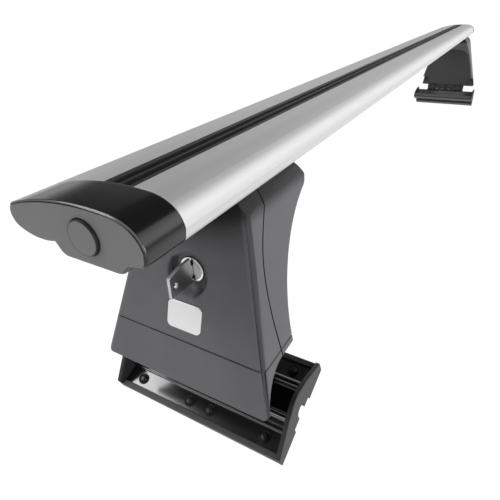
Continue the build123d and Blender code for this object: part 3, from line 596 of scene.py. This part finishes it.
def make_rivets(side):
    """Domed rivets of one foot, in place of the plain ones."""
    points, faces = rivet_surfaces(side)
    mesh = bpy.data.meshes.new(f"{side}_rivets")
    mesh.from_pydata(points.tolist(), [], faces.tolist())
    work = bmesh.new()
    work.from_mesh(mesh)
    bmesh.ops.remove_doubles(work, verts=work.verts, dist=same_pole)
    bmesh.ops.dissolve_degenerate(work, dist=same_pole, edges=work.edges)
    bmesh.ops.recalc_face_normals(work, faces=work.faces)
    work.to_mesh(mesh)
    work.free()
    mesh.shade_smooth()
    mesh.materials.append(materials["rivet_plastic"])
    piece = add_object(f"{side}_rivets", mesh)
    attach(piece, f"{side}_foot")
    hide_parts(f"{side}_pad_rivets")


# Rounded edges

def rounded_copy(name, radius, beyond=0.0):
    """Copy of a node with its flat faces joined, which takes the node's place.

    Its sharp edges are rounded, where they lie farther from the middle of the bar than beyond.
    """
    mesh = frame["nodes"][name].data.copy()
    mesh.name = f"{name}_rounded"
    work = bmesh.new()
    work.from_mesh(mesh)
    bmesh.ops.remove_doubles(work, verts=work.verts, dist=same_corner)
    bmesh.ops.dissolve_limit(work, angle_limit=flat_angle, verts=work.verts, edges=work.edges)
    weight = work.edges.layers.float.new("bevel_weight_edge")
    for edge in work.edges:
        sharp = len(edge.link_faces) == 2 and edge.calc_face_angle() > sharp_angle
        edge[weight] = float(sharp and min(abs(corner.co.x) for corner in edge.verts) >= beyond)
    work.to_mesh(mesh)
    work.free()
    for attribute in ("custom_normal", "sharp_edge", "sharp_face"):
        if attribute in mesh.attributes:
            mesh.attributes.remove(mesh.attributes[attribute])
    mesh.shade_smooth()
    mesh.set_sharp_from_angle(angle=sharp_angle)
    piece = add_object(f"{name}_rounded", mesh)
    rounding = piece.modifiers.new("rounding", "BEVEL")
    rounding.width = radius
    rounding.segments = 3
    rounding.limit_method = "WEIGHT"
    rounding.use_clamp_overlap = False
    piece.modifiers.new("even_shading", "WEIGHTED_NORMAL").keep_sharp = True
    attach(piece, body_of[name])
    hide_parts(name)


# Room and light

def make_floor():
    """White floor under the part with a soft shadow; mirrored, its white fades out far from the part."""
    mesh = bpy.data.meshes.new("floor")
    corners = [(x * floor_half, y * floor_half, 0) for x, y in ((-1, -1), (1, -1), (1, 1), (-1, 1))]
    mesh.from_pydata(corners, [], [(0, 1, 2, 3)])
    floor = add_object("floor", mesh)
    material, tree, surface = new_material("floor_white", Roughness=1.0, Specular_IOR_Level=0.0)
    grain = node(tree, "ShaderNodeTexNoise", Scale=3.0)
    feed(tree, surface["Base Color"], ramp(tree, grain.outputs["Fac"], 0.86, 0.88))
    scaled = vector(tree, "DIVIDE", vector(tree, "SUBTRACT", object_place(tree), oval_middle), oval_reach)
    fade = map_range(tree, vector(tree, "LENGTH", scaled), oval_fade, (1.0, 0.2))
    ray = tree.nodes.new("ShaderNodeLightPath").outputs
    white = number(tree, "MAXIMUM", ray["Is Camera Ray"], fade)
    strength = number(tree, "MULTIPLY", white, floor_glow)
    glow = node(tree, "ShaderNodeEmission", Color=(1, 1, 1, 1), Strength=strength)
    mirrored = number(tree, "MAXIMUM", ray["Is Camera Ray"], ray["Is Glossy Ray"])
    seen = number(tree, "MAXIMUM", mirrored, ray["Is Transmission Ray"])
    mix = node(tree, "ShaderNodeMixShader", Fac=number(tree, "MULTIPLY", seen, glow_share))
    tree.links.new(tree.nodes["Principled BSDF"].outputs[0], mix.inputs[1])
    tree.links.new(glow.outputs[0], mix.inputs[2])
    tree.links.new(mix.outputs[0], tree.nodes["Material Output"].inputs["Surface"])
    mesh.materials.append(material)


def make_world():
    """Pale room: white to the camera, bright along the horizon and past the bar's far end, dim above."""
    world = bpy.data.worlds.new("room")
    bpy.context.scene.world = world
    world.use_nodes = True
    tree = world.node_tree
    direction = tree.nodes.new("ShaderNodeTexCoord").outputs["Generated"]
    upward = parts_of(tree, direction)["Z"]
    horizon = map_range(tree, upward, horizon_fade, (1.0, 0.0))
    tall = map_range(tree, upward, tall_fade, (1.0, 0.0))
    facing = map_range(tree, vector(tree, "DOT_PRODUCT", direction, tall_side), tall_facing, (0.0, 1.0))
    band = number(tree, "MAXIMUM", horizon, number(tree, "MULTIPLY", tall, facing))
    fill = tree.nodes["Background"]
    fill.inputs["Color"].default_value = (1, 1, 1, 1)
    feed(tree, fill.inputs["Strength"], number(tree, "MULTIPLY_ADD", band, room_band, room_fill))
    white = node(tree, "ShaderNodeBackground", Color=(1, 1, 1, 1), Strength=1.0)
    ray = tree.nodes.new("ShaderNodeLightPath").outputs
    mix = node(tree, "ShaderNodeMixShader", Fac=ray["Is Camera Ray"])
    tree.links.new(fill.outputs[0], mix.inputs[1])
    tree.links.new(white.outputs[0], mix.inputs[2])
    tree.links.new(mix.outputs[0], tree.nodes["World Output"].inputs["Surface"])


def softbox(name, place, target, size, power):
    """Rectangular lamp that faces a point."""
    light = bpy.data.lights.new(name, "AREA")
    light.shape = "RECTANGLE"
    light.size, light.size_y = size
    light.energy = power
    lamp = add_object(name, light)
    lamp.location = place
    lamp.rotation_mode = "QUATERNION"
    lamp.rotation_quaternion = (Vector(target) - Vector(place)).to_track_quat("-Z", "Y")


make_camera()
dress_nodes()
for side in ("right", "left"):
    make_rivets(side)
    for kind, radius in edge_radius.items():
        rounded_copy(f"{side}_{kind}", radius, cap_rounding_from if kind == "end_cap" else 0.0)
rounded_copy("key", key_radius)
make_floor()
make_world()
for name, values in lamps.items():
    softbox(name, *values)
bpy.context.scene.view_settings.view_transform = "Standard"
